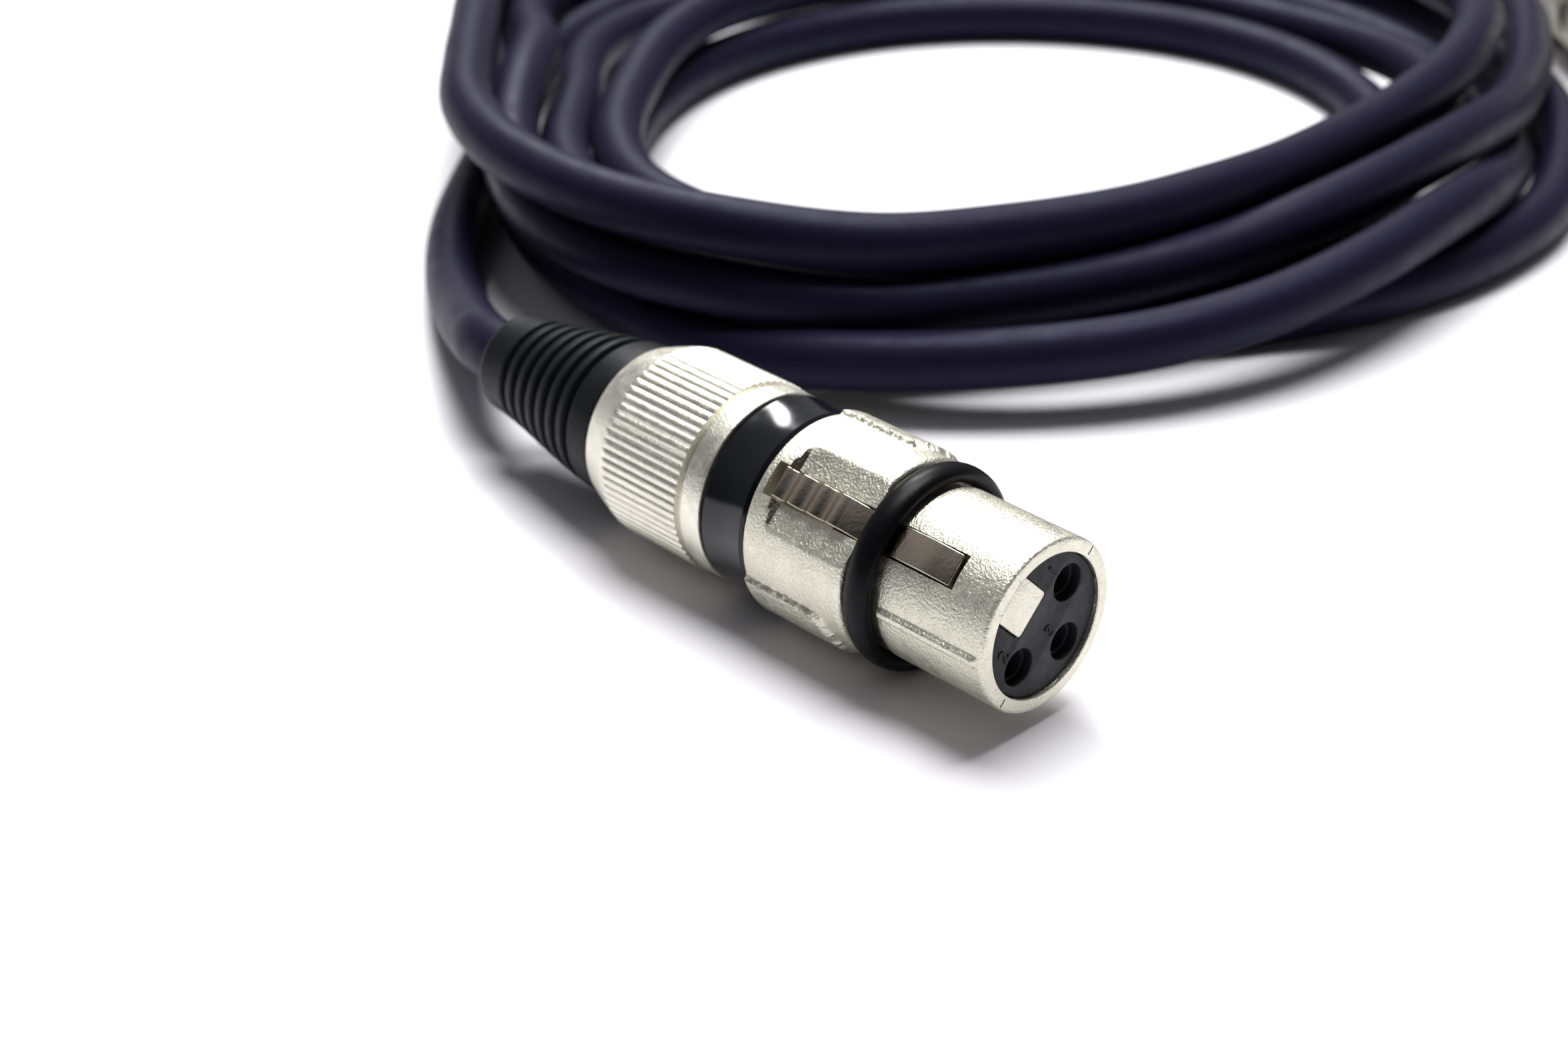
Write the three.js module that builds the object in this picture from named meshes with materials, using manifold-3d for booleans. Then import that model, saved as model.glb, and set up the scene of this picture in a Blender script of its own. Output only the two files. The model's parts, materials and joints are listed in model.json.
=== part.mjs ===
// XLR cable coil: a microphone cable with a female and a male 3-pole connector, lying coiled on the floor.
// Millimetres, +Z up. The coil is laid out about its own centre, then the whole object is moved so that
// the origin is the bottom centre of its bounding box.
// Each connector is drawn in its own frame: the origin is the middle of its mating face, +Y runs back
// along the connector and +Z points to the key and latch side.
import * as THREE from 'three';
import { mergeVertices } from 'three/addons/utils/BufferGeometryUtils.js';
import Module from 'manifold-3d';

const wasm = await Module();
wasm.setup();

// ---------- driving dimensions ----------
const CABLE_R = 3.2;            // jacket outer radius
const JACKET_BORE_R = 2.3;
const CORE_R = 2.0;
const JACKET_SIDES = 8;
const CORE_SIDES = 5;
const BEARING_STEP = 12;        // degrees between two cable sections
const STRAND_GAP = 6.75;        // least distance between the centres of two strands

const GAP = 0.3;                // clearance between neighbouring pieces
const ROUND_SIDES = 24;
const NUT_SIDES = 40;
const BOOT_SIDES = 14;

const BARREL_R = 8.0;           // female mating barrel
const BODY_R = 9.35;            // rear body of both shells
const BORE_R = 6.67;
const THREAD_R = 7.2;
const CONTACT_CIRCLE_R = 4.1;
const CONTACT_ANGLES = [90, -90, 180];   // contacts 1, 2 and 3, degrees from the key
const KEY_HALF = 2.15;
const KEY_FLOOR_R = 2.45;
const SHELL_LENGTH = 27;        // female shell, face to rear end
const MALE_EXTRA = 3;           // how much longer the male shell is
const LATCH_HALF = 1.45;
const THUMB_FLAT_R = 8.3;       // flat on top of the female body, under the thumb
const LATCH_POCKET_R = 7.85;

const FEMALE = { x: -9, y: -131, z: 9.6, heading: 43.95, roll: -45.5 };
const MALE = { x: 89, y: 14, z: 9.6, heading: 4, roll: 0 };
const CABLE_EXIT = 72;          // the cable leaves the boot straight up to here

// Way points of the lay, one row per turn: radius and height of the strand at every eighth of a turn,
// starting at the left of the coil and going round by the back.
const LAY = [
  [[67.5, 3.2], [75.3, 3.2], [75, 3.2], [80, 3.2], [70.2, 3.2], [62.5, 3.2], [58.6, 3.2], [59.5, 3.2]],
  [[51, 3.2], [49, 3.2], [48.7, 3.2], [50, 3.2], [47.5, 3.2], [46, 3.2], [50.6, 3.2], [60, 9]],
  [[50, 9.7], [51.4, 9.2], [55.5, 6.4], [57.2, 4.8], [54, 8.8], [50.2, 8.2], [54.6, 9.8], [66, 10]],
  [[57.4, 8.2], [68.3, 3.4], [66.7, 3.2], [67.5, 3.2], [61.9, 3.2], [61.8, 9.8], [72.1, 6.9], [72.6, 4.9]],
  [[67, 10.8], [91.5, 6.2], [99, 3.2], [91.5, 9.3], [64, 9.8], [55.5, 13.3], [61.5, 9.4], [74.9, 11]],
  [[63, 14.6], [81.5, 5.8], [82.5, 3.4], [79, 9.8], [57, 16], [48, 15.4], [58.1, 15], [75.6, 17]],
  [[70.2, 17.4], [84, 12], [93.5, 10]],
];
const LAY_LEAD_IN = [86, 4];
const CORNER = { bearing: 292, width: 16, reach: 3 };   // the lay bulges outwards at its front left
// Free ends of the cable between the lay and the two boots.
const FEMALE_TAIL = [
  [-61.2, -75.6, 9.1], [-63.1, -69.8, 7.7], [-65.3, -61.5, 5.7], [-67.3, -52.5, 4.1], [-68.8, -43.5, 3.2],
  [-69.6, -34.5, 3.2], [-69.6, -25.7, 3.2], [-68.9, -15, 3.2],
];
const MALE_TAIL = [[20, 97.5, 10.6], [43, 106.5, 10.5], [62, 110.8, 10.2], [77, 105, 10]];

// ---------- colours ----------
const NICKEL = { color: 0xc9c6bd, roughness: 0.42, metalness: 0.9 };
const BRIGHT_NICKEL = { color: 0xc4bfb4, roughness: 0.22, metalness: 1.0 };
const CONTACT_METAL = { color: 0xd8d4c4, roughness: 0.3, metalness: 1.0 };
const INSERT_PLASTIC = { color: 0x26262a, roughness: 0.62, metalness: 0.0 };
const GLOSS_PLASTIC = { color: 0x101113, roughness: 0.2, metalness: 0.0 };
const CHUCK_PLASTIC = { color: 0xd9d6cc, roughness: 0.5, metalness: 0.0 };
const RUBBER = { color: 0x161719, roughness: 0.55, metalness: 0.0 };
const JACKET_PVC = { color: 0x1b1a2c, roughness: 0.4, metalness: 0.0 };
const BRAID = { color: 0xb5825a, roughness: 0.45, metalness: 0.8 };
const WIRE_COLOURS = [0xb5825a, 0xb02a25, 0xe8e6df];

const group = new THREE.Group();
group.name = 'xlr_cable_coil';

// ---------- helpers ----------
const radians = (degrees) => degrees * Math.PI / 180;

function closedIndex(geometry) {
  const bare = geometry.clone();
  bare.deleteAttribute('normal');
  bare.deleteAttribute('uv');
  const welded = mergeVertices(bare, 1e-4);
  const kept = [];
  const index = welded.index.array;
  for (let i = 0; i < index.length; i += 3) {
    const [a, b, c] = [index[i], index[i + 1], index[i + 2]];
    if (a !== b && b !== c && c !== a) kept.push(a, b, c);
  }
  welded.setIndex(kept);
  return welded;
}

function solidOf(geometry) {
  const welded = closedIndex(geometry);
  return new wasm.Manifold(new wasm.Mesh({
    numProp: 3,
    vertProperties: new Float32Array(welded.attributes.position.array),
    triVerts: new Uint32Array(welded.index.array),
  }));
}

function geometryOf(solid) {
  const mesh = solid.getMesh();
  const geometry = new THREE.BufferGeometry();
  geometry.setAttribute('position', new THREE.BufferAttribute(new Float32Array(mesh.vertProperties), 3));
  geometry.setIndex(new THREE.BufferAttribute(new Uint32Array(mesh.triVerts), 1));
  return geometry;
}

function addPiece(parent, name, geometry, look) {
  const closed = closedIndex(geometry);
  closed.computeVertexNormals();
  const mesh = new THREE.Mesh(closed, new THREE.MeshStandardMaterial({ ...look }));
  mesh.name = name;
  parent.add(mesh);
  return mesh;
}

// A ring or disc turned about the connector axis. Points are [radius, distance back from the face],
// the outside listed front to back and the bore back to front.
function turned(points, sides = ROUND_SIDES) {
  const profile = points.map(([r, s]) => new THREE.Vector2(r, s));
  const closed = points[0][0] > 0 || points[points.length - 1][0] > 0;
  if (closed) profile.push(profile[0].clone());
  return new THREE.LatheGeometry(profile, sides);
}

function block(x, yFrom, yTo, zFrom, zTo) {
  const box = new THREE.BoxGeometry(2 * x, yTo - yFrom, zTo - zFrom);
  box.translate(0, (yFrom + yTo) / 2, (zFrom + zTo) / 2);
  return box;
}

// A plate cut from a side view outline of [s, r] points, as wide as 2 * half.
function sideCut(points, half) {
  const shape = new THREE.Shape(points.map(([s, r]) => new THREE.Vector2(s, r)));
  const plate = new THREE.ExtrudeGeometry(shape, { depth: 2 * half, bevelEnabled: false });
  // the outline's s runs along +Y and its r along +Z
  const basis = new THREE.Matrix4().makeBasis(
    new THREE.Vector3(0, 1, 0), new THREE.Vector3(0, 0, 1), new THREE.Vector3(1, 0, 0));
  plate.applyMatrix4(basis);
  plate.translate(-half, 0, 0);
  return plate;
}

// A line through given points; sections of an extrusion land exactly on them.
class PointPath extends THREE.Curve {
  constructor(points) {
    super();
    this.points = points;
  }

  getPoint(t, target = new THREE.Vector3()) {
    const last = this.points.length - 1;
    const place = Math.min(Math.max(t, 0), 1) * last;
    const k = Math.min(Math.floor(place), last - 1);
    return target.copy(this.points[k]).lerp(this.points[k + 1], place - k);
  }

  getUtoTmapping(u) {
    return u;
  }
}

function polygon(radius, sides, Kind = THREE.Shape) {
  const corners = [];
  for (let i = 0; i < sides; i += 1) {
    const angle = 2 * Math.PI * i / sides;
    corners.push(new THREE.Vector2(radius * Math.cos(angle), radius * Math.sin(angle)));
  }
  return new Kind(corners);
}

function sweep(shape, points) {
  const path = new PointPath(points);
  return new THREE.ExtrudeGeometry(shape, { steps: points.length - 1, extrudePath: path, bevelEnabled: false });
}

// Smooth value between b and c, with a before and d after them.
function smooth(a, b, c, d, t) {
  return 0.5 * (2 * b + (c - a) * t + (2 * a - 5 * b + 4 * c - d) * t * t + (3 * b - a - 3 * c + d) * t ** 3);
}

// ---------- cable ----------
function laySamples() {
  const marks = [LAY_LEAD_IN, ...LAY.flat()];
  const last = marks.length - 1;
  marks.push([2 * marks[last][0] - marks[last - 1][0], marks[last][1]]);
  const samples = [];
  const whole = (last - 1) * 45;
  for (let bearing = 0; bearing <= whole + 1e-6; bearing += BEARING_STEP) {
    const k = Math.min(Math.floor(bearing / 45), last - 2);
    const t = bearing / 45 - k;
    const [a, b, c, d] = marks.slice(k, k + 4);
    const offCorner = ((bearing % 360) - CORNER.bearing) / CORNER.width;
    const bulge = CORNER.reach * Math.exp(-offCorner * offCorner);
    samples.push({
      bearing,
      r: smooth(a[0], b[0], c[0], d[0], t) + bulge,
      z: Math.max(CABLE_R, smooth(a[1], b[1], c[1], d[1], t)),
    });
  }
  return samples;
}

// Strands that lie at the same bearing are pushed apart until they only just touch.
function settle(samples) {
  const perTurn = 360 / BEARING_STEP;
  for (let pass = 0; pass < 120; pass += 1) {
    for (let i = 0; i < samples.length; i += 1) {
      for (let j = i + perTurn; j < samples.length; j += perTurn) {
        const [p, q] = [samples[i], samples[j]];
        const distance = Math.hypot(p.r - q.r, p.z - q.z);
        if (distance >= STRAND_GAP) continue;
        const push = (STRAND_GAP - distance) / 2 / distance;
        const [dr, dz] = [(q.r - p.r) * push, (q.z - p.z) * push];
        p.r -= dr;
        q.r += dr;
        p.z = Math.max(CABLE_R, p.z - dz);
        q.z = Math.max(CABLE_R, q.z + dz);
      }
    }
  }
}

function onAxis(place, s) {
  const back = new THREE.Vector3(0, s, 0);
  back.applyAxisAngle(new THREE.Vector3(0, 0, 1), radians(place.heading));
  return back.add(new THREE.Vector3(place.x, place.y, place.z));
}

function tailPoints(marks, count) {
  const curve = new THREE.CatmullRomCurve3(marks.map((m) => new THREE.Vector3(...m)), false, 'centripetal');
  return curve.getSpacedPoints(count);
}

function cablePoints(jacketStart, jacketEnd) {
  const samples = laySamples();
  settle(samples);
  const lay = samples.map(({ bearing, r, z }) => {
    const angle = radians(180 - bearing);
    return new THREE.Vector3(r * Math.cos(angle), r * Math.sin(angle), z);
  });
  const maleExit = CABLE_EXIT + MALE_EXTRA;
  const femaleStraight = onAxis(FEMALE, CABLE_EXIT);
  const maleStraight = onAxis(MALE, maleExit);
  const head = tailPoints([
    onAxis(FEMALE, CABLE_EXIT - 6).toArray(), femaleStraight.toArray(), ...FEMALE_TAIL,
    lay[0].toArray(), lay[1].toArray(),
  ], 20);
  const foot = tailPoints([
    lay[lay.length - 2].toArray(), lay[lay.length - 1].toArray(), ...MALE_TAIL,
    maleStraight.toArray(), onAxis(MALE, maleExit - 6).toArray(),
  ], 20);
  return [
    onAxis(FEMALE, jacketStart), onAxis(FEMALE, 50), ...head.slice(0, -1),
    ...lay.slice(1, -2), ...foot, onAxis(MALE, 50 + MALE_EXTRA), onAxis(MALE, jacketEnd),
  ];
}

const JACKET_FRONT = 28;
const CORE_STRIP = 1;
const jacketPoints = cablePoints(JACKET_FRONT, JACKET_FRONT + MALE_EXTRA);
const corePoints = cablePoints(JACKET_FRONT - CORE_STRIP, JACKET_FRONT + MALE_EXTRA - CORE_STRIP);
const jacketSection = polygon(CABLE_R, JACKET_SIDES);
jacketSection.holes.push(polygon(JACKET_BORE_R, CORE_SIDES, THREE.Path));
addPiece(group, 'cable_jacket', sweep(jacketSection, jacketPoints), JACKET_PVC);
addPiece(group, 'cable_core', sweep(polygon(CORE_R, CORE_SIDES), corePoints), BRAID);

// ---------- pieces both connectors share ----------
// A textured finger pad standing slightly proud of the rear body, with sloped ends.
function gripPad(side, from, to) {
  const spread = radians(28);
  const middle = side > 0 ? 0 : Math.PI;
  const shape = new THREE.Shape();
  shape.absarc(0, 0, BODY_R + 0.5, middle - spread, middle + spread, false);
  shape.absarc(0, 0, BODY_R - 0.6, middle + spread, middle - spread, true);
  const pad = new THREE.ExtrudeGeometry(shape, { depth: to - from, bevelEnabled: false, curveSegments: 5 });
  pad.rotateX(-Math.PI / 2);
  pad.translate(0, from, 0);
  return pad;
}

function contactPlace(geometry, angle) {
  const a = radians(angle);
  geometry.translate(CONTACT_CIRCLE_R * Math.sin(a), 0, CONTACT_CIRCLE_R * Math.cos(a));
  return geometry;
}

function addWires(parent, prefix, cupEnd, coreEnd) {
  CONTACT_ANGLES.forEach((angle, i) => {
    const a = radians(angle);
    const out = new THREE.Vector3(Math.sin(a), 0, Math.cos(a));
    const marks = [[1.1, coreEnd - GAP], [1.3, coreEnd - 1.6], [3.4, cupEnd + 1.8], [CONTACT_CIRCLE_R, cupEnd + GAP]];
    const curve = new THREE.CatmullRomCurve3(
      marks.map(([r, s]) => out.clone().multiplyScalar(r).setY(s)));
    const wire = sweep(polygon(0.6, 6), curve.getSpacedPoints(6));
    addPiece(parent, `${prefix}_wire_${i + 1}`, wire, { color: WIRE_COLOURS[i], roughness: 0.5, metalness: 0 });
  });
}

function addCodingRing(parent, prefix, start) {
  const end = start + 5.3;
  const ring = turned([
    [7.6, start], [9.0, start], [9.3, start + 0.4], [9.15, (start + end) / 2], [9.3, end - 0.4], [9.1, end], [7.6, end],
  ]);
  addPiece(parent, `${prefix}_coding_ring`, ring, GLOSS_PLASTIC);
}

function addChuck(parent, prefix, start) {
  let chuck = solidOf(turned([
    [3.45, start], [5.9, start], [5.9, start + 10], [4.6, start + 16], [3.45, start + 16],
  ]));
  for (let i = 0; i < 3; i += 1) {
    const slot = block(0.5, start + 5, start + 17, 0, 8);
    slot.rotateY(2 * Math.PI * i / 3);
    chuck = chuck.subtract(solidOf(slot));
  }
  addPiece(parent, `${prefix}_chuck`, geometryOf(chuck), CHUCK_PLASTIC);
}

// The nut's threaded neck reaches into the shell, its cone closes the chuck and its rear lip holds the boot.
function addNut(parent, prefix, shellEnd) {
  const s = (distance) => shellEnd + distance;
  const nut = turned([
    [6.9, s(-4.6)], [6.9, s(5.9)], [9.0, s(5.9)], [9.28, s(6.2)], [9.28, s(8.3)], [8.9, s(8.4)], [8.9, s(8.8)],
    [9.5, s(9)], [9.5, s(18.9)], [8.1, s(22.7)],
    [7.2, s(22.7)], [7.2, s(20)], [8.0, s(20)], [8.0, s(16.5)], [5.0, s(16.5)], [5.0, s(15.5)],
    [6.3, s(9.5)], [6.3, s(-4.6)],
  ], NUT_SIDES);
  const position = nut.attributes.position;
  for (let i = 0; i < position.count; i += 1) {
    const [x, z] = [position.getX(i), position.getZ(i)];
    const tooth = Math.round(Math.atan2(x, z) / (2 * Math.PI / NUT_SIDES));
    if (Math.hypot(x, z) > 9.4 && tooth % 2 !== 0) {
      position.setXYZ(i, x * 0.97, position.getY(i), z * 0.97);
    }
  }
  addPiece(parent, `${prefix}_nut`, nut, NICKEL);
}

function addBoot(parent, prefix, shellEnd) {
  const s = (distance) => shellEnd + distance;
  const grooves = [];
  const count = 6;
  const pitch = 2.15;
  for (let i = 0; i < count; i += 1) {
    const start = 26.6 + i * pitch;
    const crest = 7.5 - 0.31 * i;
    grooves.push([crest - 0.75, s(start)], [crest - 0.1, s(start + 0.6)], [crest - 0.15, s(start + 1.55)]);
  }
  const boot = turned([
    [3.8, s(16.9)], [7.7, s(16.9)], [7.7, s(19.7)], [6.9, s(19.7)], [6.9, s(23)], [7.8, s(23)], [7.75, s(26)],
    ...grooves, [5.1, s(39.6)], [5.5, s(40)], [5.35, s(42.6)], [5.1, s(43)], [4.4, s(43)], [3.8, s(41.4)],
  ], BOOT_SIDES);
  addPiece(parent, `${prefix}_boot`, boot, RUBBER);
}

function addRearParts(parent, prefix, shellEnd) {
  addCodingRing(parent, prefix, shellEnd + GAP);
  addChuck(parent, prefix, shellEnd - 1);
  addNut(parent, prefix, shellEnd);
  addBoot(parent, prefix, shellEnd);
}

function connectorGroup(place) {
  const connector = new THREE.Group();
  connector.position.set(place.x, place.y, place.z);
  connector.rotation.set(0, radians(place.roll), radians(place.heading), 'ZYX');
  group.add(connector);
  return connector;
}

// ---------- female connector ----------
const female = connectorGroup(FEMALE);

let femaleShell = solidOf(turned([
  [BORE_R, 0], [7.6, 0], [BARREL_R, 0.4], [BARREL_R, 11.9], [7.6, 11.9], [7.6, 15.1], [9.0, 15.1], [BODY_R, 15.5],
  [BODY_R, SHELL_LENGTH], [THREAD_R, SHELL_LENGTH], [THREAD_R, 19], [BORE_R, 19],
]));
femaleShell = femaleShell.add(solidOf(gripPad(1, 16, SHELL_LENGTH)));
femaleShell = femaleShell.add(solidOf(gripPad(-1, 16, SHELL_LENGTH)));
femaleShell = femaleShell.add(solidOf(block(KEY_HALF, 0, 4.2, KEY_FLOOR_R + GAP, 7.0)));
const sideRib = block(0.55, 0.5, 11.9, BARREL_R - 0.5, BARREL_R + 0.35);
sideRib.rotateY(radians(-47));
femaleShell = femaleShell.add(solidOf(sideRib));
const thumbFlat = [[14, THUMB_FLAT_R], [24, THUMB_FLAT_R], [25.8, 10.5], [14, 10.5]];
femaleShell = femaleShell.subtract(solidOf(sideCut(thumbFlat, 5)));
femaleShell = femaleShell.subtract(solidOf(block(LATCH_HALF + 0.15, 4.7, 18.6, 5, 11)));
femaleShell = femaleShell.subtract(solidOf(block(LATCH_HALF + 0.15, 18, 26.1, LATCH_POCKET_R, 11)));
addPiece(female, 'f_shell', geometryOf(femaleShell), NICKEL);

const INSERT_R = BORE_R - 0.32;
const INSERT_END = 16.5;
let femaleInsert = solidOf(turned([[0, 0.4], [INSERT_R, 0.4], [INSERT_R, INSERT_END], [0, INSERT_END]]));
femaleInsert = femaleInsert.subtract(solidOf(block(KEY_HALF + GAP, 0, INSERT_END + 1, KEY_FLOOR_R, 8)));
for (const angle of CONTACT_ANGLES) {
  const hole = turned([
    [0, 0], [1.7, 0], [1.7, 1], [1.3, 1], [1.3, 2.7], [1.85, 2.7], [1.85, INSERT_END + 1], [0, INSERT_END + 1],
  ], 16);
  femaleInsert = femaleInsert.subtract(solidOf(contactPlace(hole, angle)));
}
addPiece(female, 'f_insert', geometryOf(femaleInsert), INSERT_PLASTIC);

CONTACT_ANGLES.forEach((angle, i) => {
  const tube = solidOf(turned([[0, 3], [1.5, 3], [1.5, 21], [0, 21]], 12));
  const socket = geometryOf(tube.subtract(solidOf(turned([[0, 0], [1.2, 0], [1.2, 15], [0, 15]], 12))));
  addPiece(female, `f_socket_${i + 1}`, contactPlace(socket, angle), CONTACT_METAL);
});

// The latch is a bent strip: hooked nose, dip under the rubber ring, ridged thumb part at the rear.
function latchOutline() {
  const top = [[5.3, 7.7], [5.6, 8.3], [7.4, 8.5], [9.0, 8.15], [11.4, 8.25], [12.0, 7.55], [15.0, 7.55], [17.4, 8.95]];
  for (let s = 18.4; s < 23; s += 2) {
    top.push([s, 9.35], [s + 0.9, 9.35], [s + 1.3, 9.0], [s + 1.7, 9.0]);
  }
  top.push([25.2, 9.1]);
  const under = [[25.5, 8.5], [18.2, 8.5], [15.6, 6.95], [5.3, 6.95]];
  return [...top, ...under];
}
addPiece(female, 'f_latch', sideCut(latchOutline(), LATCH_HALF), BRIGHT_NICKEL);

const spring = sideCut([
  [16, 2.75], [16, 3.05], [14.2, 3.1], [9.4, 6.65], [8.4, 6.65], [8.4, 6.35], [9.2, 6.35], [14, 2.75],
], 1.0);
addPiece(female, 'f_latch_spring', spring, BRIGHT_NICKEL);

const ringSection = [];
for (let i = 0; i < 10; i += 1) {
  const angle = 2 * Math.PI * i / 10 - Math.PI / 2;
  ringSection.push([8.775 + 0.825 * Math.cos(angle), 13.5 + 1.35 * Math.sin(angle)]);
}
addPiece(female, 'f_o_ring', turned(ringSection), RUBBER);
addRearParts(female, 'f', SHELL_LENGTH);
addWires(female, 'f', 21, JACKET_FRONT - CORE_STRIP);

// ---------- male connector ----------
const male = connectorGroup(MALE);
const MALE_SHELL_END = SHELL_LENGTH + MALE_EXTRA;
const CAVITY_R = 8.2;

let maleShell = solidOf(turned([
  [CAVITY_R, 0], [9.05, 0], [BODY_R, 0.3], [BODY_R, MALE_SHELL_END], [THREAD_R, MALE_SHELL_END], [THREAD_R, 22],
  [BORE_R, 22], [BORE_R, 16], [CAVITY_R, 16],
]));
maleShell = maleShell.add(solidOf(gripPad(1, 18, MALE_SHELL_END)));
maleShell = maleShell.add(solidOf(gripPad(-1, 18, MALE_SHELL_END)));
maleShell = maleShell.subtract(solidOf(block(LATCH_HALF + GAP, 6.4, 9.4, 5, 11)));
addPiece(male, 'm_shell', geometryOf(maleShell), NICKEL);

let maleInsert = solidOf(turned([[0, 14.2], [7.9, 14.2], [7.9, 15.7], [INSERT_R, 15.7], [INSERT_R, 20], [0, 20]]));
for (const angle of CONTACT_ANGLES) {
  const hole = turned([[0, 14], [1.5, 14], [1.5, 21], [0, 21]], 12);
  maleInsert = maleInsert.subtract(solidOf(contactPlace(hole, angle)));
}
addPiece(male, 'm_insert', geometryOf(maleInsert), INSERT_PLASTIC);

CONTACT_ANGLES.forEach((angle, i) => {
  const pin = turned([[0, 2.5], [0.7, 2.6], [1.2, 3.3], [1.2, 24], [0, 24]], 12);
  addPiece(male, `m_pin_${i + 1}`, contactPlace(pin, angle), CONTACT_METAL);
});
addRearParts(male, 'm', MALE_SHELL_END);
addWires(male, 'm', 24, JACKET_FRONT + MALE_EXTRA - CORE_STRIP);

// ---------- origin at the bottom centre ----------
group.updateMatrixWorld(true);
const bounds = new THREE.Box3().setFromObject(group, true);
const centre = bounds.getCenter(new THREE.Vector3());
group.children.forEach((child) => child.position.sub(new THREE.Vector3(centre.x, centre.y, bounds.min.z)));

export default group;
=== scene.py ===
"""A coiled microphone cable with a female and a male 3-pole connector on a white floor."""
import json
import math

import bmesh
import bpy
import numpy as np
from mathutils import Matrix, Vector


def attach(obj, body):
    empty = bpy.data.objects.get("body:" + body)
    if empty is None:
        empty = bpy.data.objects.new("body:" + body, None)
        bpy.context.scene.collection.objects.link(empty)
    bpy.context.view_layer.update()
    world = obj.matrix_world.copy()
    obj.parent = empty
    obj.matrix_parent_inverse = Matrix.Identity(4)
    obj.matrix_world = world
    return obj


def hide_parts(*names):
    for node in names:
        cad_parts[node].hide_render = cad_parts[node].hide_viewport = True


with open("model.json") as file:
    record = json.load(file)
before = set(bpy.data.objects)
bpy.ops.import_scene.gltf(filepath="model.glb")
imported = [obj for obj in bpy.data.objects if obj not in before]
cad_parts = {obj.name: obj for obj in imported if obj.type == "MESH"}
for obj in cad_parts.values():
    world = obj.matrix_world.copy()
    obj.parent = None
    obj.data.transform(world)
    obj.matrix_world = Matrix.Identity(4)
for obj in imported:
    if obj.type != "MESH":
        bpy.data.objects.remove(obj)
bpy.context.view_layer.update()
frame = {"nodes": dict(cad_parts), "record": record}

MM = 0.001
ROOT = "body"

# Connector sizes in mm, as on the CAD: r is a radius, s a distance back from the mating face.
BARREL_R = 8.0
BODY_R = 9.35
BORE_R = 6.67
THREAD_R = 7.2
CONTACT_R = 4.1
CONTACT_ANGLES = (90, -90, 180)
KEY_HALF = 2.15
KEY_FLOOR = 2.75
SLOT_HALF = 1.6
SLOT = (4.7, 18.6)
THUMB_POCKET = (18.0, 26.1)
POCKET_R = 7.85
FLAT_R = 8.3
FLAT_END = 24.3
PAD_HALF_ANGLE = 28
PAD_ANGLES = (90 - PAD_HALF_ANGLE, 90 + PAD_HALF_ANGLE)
PAD_RISE = 0.5
CABLE_R = 3.2
FLUTES = 64
FEMALE_SHELL_END = 27.0
MALE_SHELL_END = 30.0
MALE_WINDOW = (6.4, 9.4)
RING_GROOVE = (11.9, 15.1)
RING_GROOVE_R = 7.6
FLAT_SLOPE = 1.5
KEY_LENGTH = 4.2
RIB_ANGLE = -47
RIB_HALF = 0.46
RIB_RISE = 0.42
LATCH_WIDTH = 2.9
CODING_RING_LENGTH = 5.3
BOOT_GROOVES = 7
BOOT_GROOVE_PITCH = 1.95


# ---------- places ----------
class Place:
    """A connector's own frame in mm: x to the side, y back from the mating face, z to the key."""

    def __init__(self, nut_joint, mount, side=None, key=None):
        joint = next(j for j in frame["record"]["behaviour"]["joints"] if j["name"] == nut_joint)
        face = next(m for m in frame["record"]["mounts"] if m["name"] == mount)
        self.back = np.array(joint["axis"], float)
        on_axis = np.array(joint["pos_m"], float)
        reach = (np.array(face["pos_m"], float) - on_axis) @ self.back
        self.origin = on_axis + reach * self.back
        if side is None:
            self.key = np.array(key, float)
            self.side = np.cross(self.back, self.key)
        else:
            self.side = np.array(side, float)
            self.key = np.cross(self.side, self.back)

    def world(self, points):
        axes = np.stack([self.side, self.back, self.key])
        return self.origin + MM * np.asarray(points, float) @ axes


latch_axis = next(j for j in frame["record"]["behaviour"]["joints"] if j["name"] == "f_latch_rock")["axis"]
FEMALE = Place("f_nut_turn", "f_mate_face", side=latch_axis)
MALE = Place("m_nut_turn", "m_mate_face", key=(0, 0, 1))


# ---------- materials ----------
def material(name):
    mat = bpy.data.materials.new(name)
    mat.use_nodes = True
    nodes = mat.node_tree.nodes
    return mat, nodes, mat.node_tree.links, nodes["Principled BSDF"]


def place_node(nodes, links, local):
    """Coordinates in mm: the piece's own where it has them, the object's otherwise."""
    if local:
        node = nodes.new("ShaderNodeAttribute")
        node.attribute_name = "loc"
        return node.outputs["Vector"]
    coordinates = nodes.new("ShaderNodeTexCoord")
    scale = nodes.new("ShaderNodeVectorMath")
    scale.operation = "SCALE"
    scale.inputs["Scale"].default_value = 1 / MM
    links.new(coordinates.outputs["Object"], scale.inputs[0])
    return scale.outputs[0]


def noise(nodes, links, where, scale, detail=3.0, rough=0.5):
    node = nodes.new("ShaderNodeTexNoise")
    node.inputs["Scale"].default_value = scale
    node.inputs["Detail"].default_value = detail
    node.inputs["Roughness"].default_value = rough
    links.new(where, node.inputs["Vector"])
    return node.outputs["Fac"]


def spread(nodes, links, value, low, high, from_low=0.3, from_high=0.7):
    node = nodes.new("ShaderNodeMapRange")
    node.inputs["From Min"].default_value = from_low
    node.inputs["From Max"].default_value = from_high
    node.inputs["To Min"].default_value = low
    node.inputs["To Max"].default_value = high
    links.new(value, node.inputs["Value"])
    return node.outputs["Result"]


def mixed_colour(nodes, links, factor, first, second):
    node = nodes.new("ShaderNodeMix")
    node.data_type = "RGBA"
    links.new(factor, node.inputs["Factor"])
    node.inputs["A"].default_value = (*first, 1)
    node.inputs["B"].default_value = (*second, 1)
    return node.outputs["Result"]


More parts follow.
